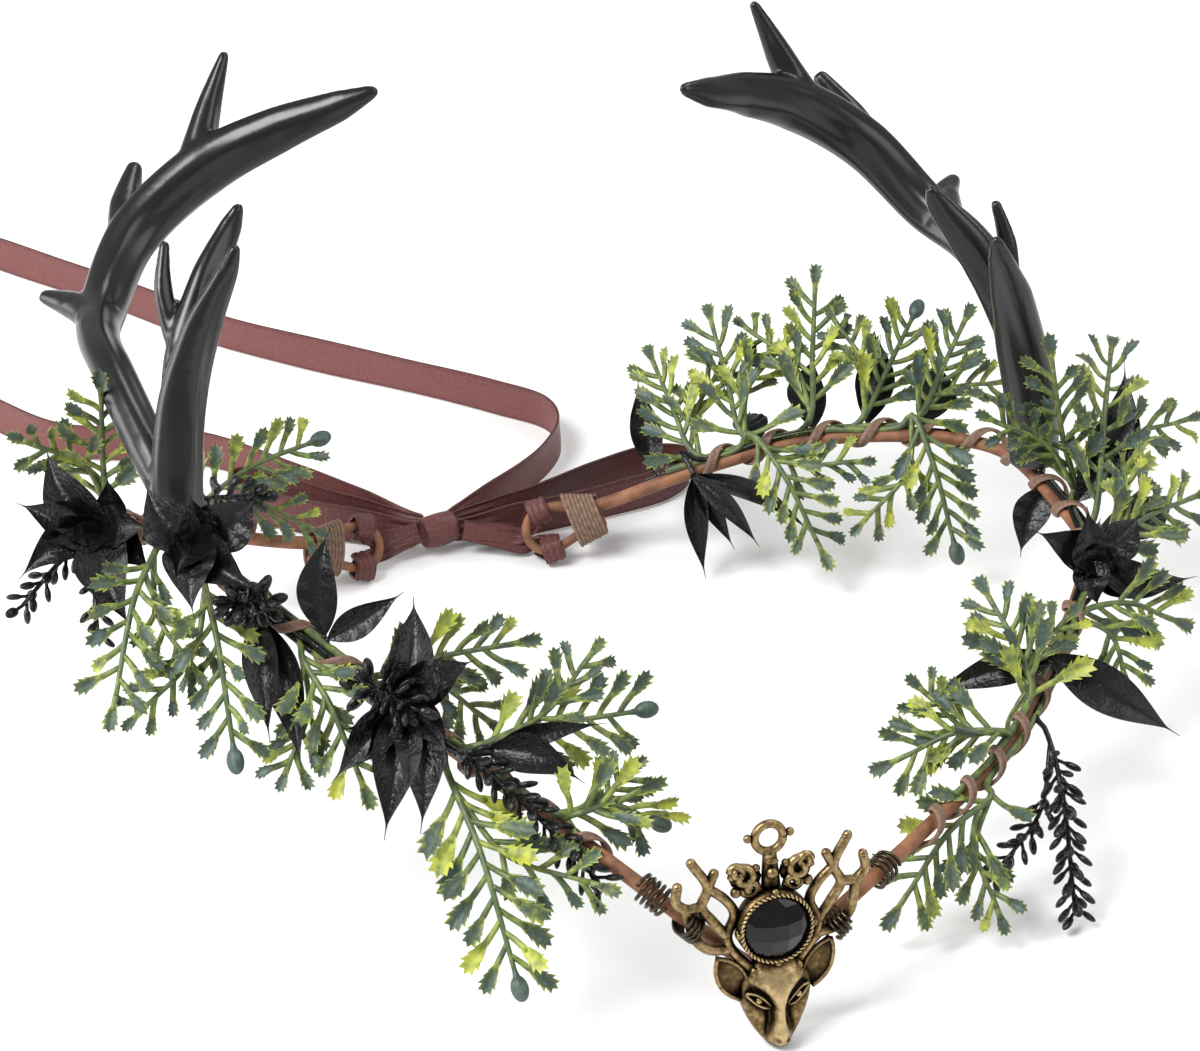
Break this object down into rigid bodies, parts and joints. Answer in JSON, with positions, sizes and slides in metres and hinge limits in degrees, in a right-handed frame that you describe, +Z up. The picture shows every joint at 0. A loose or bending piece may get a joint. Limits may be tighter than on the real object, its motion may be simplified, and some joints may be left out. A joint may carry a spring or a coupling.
{
  "type": "antler crown",
  "caption": "Wire hoop headpiece with antlers, a stag pendant set with a dark stone at the front, bound green and black foliage and a ribbon tie at the back.",
  "frame": {"origin": "on the resting surface, under the middle of the crown without its loose ribbon", "axes": "+X to the wearer's left side of the crown as seen from the front (image right), -Y towards the pendant, +Z up"},
  "size_m": [0.2814, 0.3815, 0.141],
  "materials": {
    "paper_wire": "matte paper-wrapped wire",
    "waxed_cord": "waxed cord",
    "antler_black": "satin black with soft lengthwise ridges",
    "antique_brass": "antiqued cast brass, dark in its hollows",
    "black_stone": "polished faceted dark stone",
    "dark_wire": "dark antique jewellery wire",
    "green_foliage": "matte artificial leaves, blue-green to lime",
    "black_foliage": "satin black artificial leaves",
    "satin_ribbon": "brown satin ribbon"
  },
  "bodies": {
    "root": {"band": "paper_wire", "eyelet_wrap_left": "waxed_cord", "eyelet_wrap_right": "waxed_cord", "binding_left": "waxed_cord", "binding_right": "waxed_cord", "antler_left": "antler_black", "antler_right": "antler_black", "stag_pendant": "antique_brass", "pendant_stone": "black_stone", "wire_coil_left_inner": "dark_wire", "wire_coil_left_outer": "dark_wire", "wire_coil_right_inner": "dark_wire", "wire_coil_right_outer": "dark_wire", "green_sprig_01": "green_foliage", "green_sprig_02": "green_foliage", "green_sprig_03": "green_foliage", "green_sprig_04": "green_foliage", "green_sprig_05": "green_foliage", "green_sprig_06": "green_foliage", "green_sprig_07": "green_foliage", "green_sprig_08": "green_foliage", "green_sprig_09": "green_foliage", "green_sprig_10": "green_foliage", "green_sprig_11": "green_foliage", "green_sprig_12": "green_foliage", "green_sprig_13": "green_foliage", "green_sprig_14": "green_foliage", "green_sprig_15": "green_foliage", "green_sprig_16": "green_foliage", "green_sprig_17": "green_foliage", "green_sprig_18": "green_foliage", "green_sprig_19": "green_foliage", "green_sprig_20": "green_foliage", "green_sprig_21": "green_foliage", "green_sprig_22": "green_foliage", "green_sprig_23": "green_foliage", "black_cone_back": "black_foliage", "black_cone_front": "black_foliage", "black_cone_left": "black_foliage", "black_flower_01": "black_foliage", "black_flower_02": "black_foliage", "black_flower_03": "black_foliage", "black_flower_04": "black_foliage", "black_heather_front": "black_foliage", "black_heather_left": "black_foliage", "black_heather_right": "black_foliage", "black_leaves_left_front": "black_foliage", "black_leaves_left_high": "black_foliage", "black_leaves_left_low": "black_foliage", "black_leaves_right_antler": "black_foliage", "black_leaves_right_back": "black_foliage", "black_leaves_right_front": "black_foliage", "black_leaves_right_low": "black_foliage", "ribbon_bow_left": "satin_ribbon", "ribbon_bow_right": "satin_ribbon", "ribbon_hitch_left": "satin_ribbon", "ribbon_hitch_right": "satin_ribbon", "ribbon_knot": "satin_ribbon", "ribbon_tail_lower": "satin_ribbon", "ribbon_tail_upper": "satin_ribbon"}
  },
  "joints": []
}
